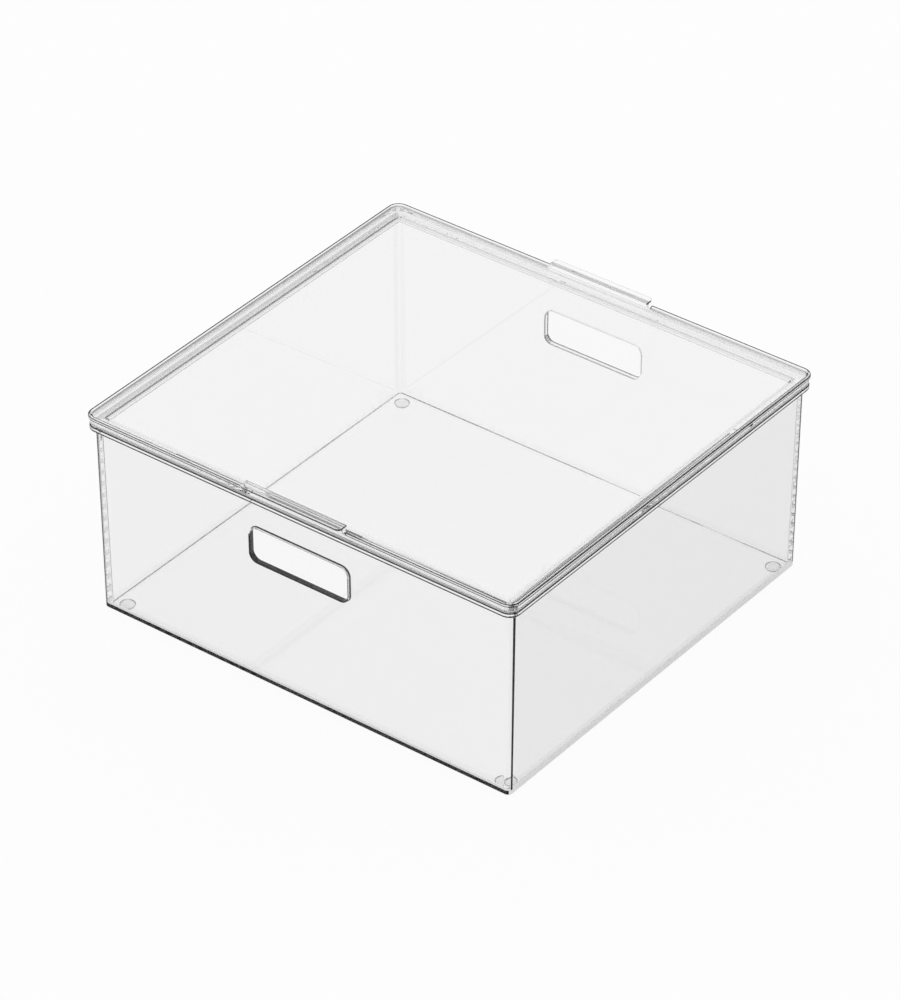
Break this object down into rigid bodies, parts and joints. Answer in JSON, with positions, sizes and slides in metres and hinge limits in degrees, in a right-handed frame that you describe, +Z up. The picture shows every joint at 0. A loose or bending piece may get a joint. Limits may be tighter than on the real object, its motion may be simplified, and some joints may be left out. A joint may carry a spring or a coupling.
{
  "type": "storage box with lid",
  "caption": "Low clear plastic storage box, nearly square, with hand slots in the front and back walls and a lift-off lid with finger lips.",
  "frame": {"origin": "on the table under the middle of the box, at the feet's lowest point", "axes": "+Z up; the front, with a hand slot and a finger lip, faces -Y; +X is to the right seen from the front"},
  "size_m": [0.3272, 0.3166, 0.1489],
  "materials": {
    "clear_bin": "water-clear polished plastic",
    "clear_lid": "water-clear polished plastic",
    "clear_pad": "clear soft silicone"
  },
  "bodies": {
    "bin": {"bin_shell": "clear_bin", "foot_front_left": "clear_pad", "foot_front_right": "clear_pad", "foot_back_left": "clear_pad", "foot_back_right": "clear_pad"},
    "lid": {"lid": "clear_lid"}
  },
  "joints": [
    {"name": "lid_lift", "type": "slide", "parent": "bin", "child": "lid", "axis": [0, 0, 1], "range_m": [0, 0.18]}
  ]
}
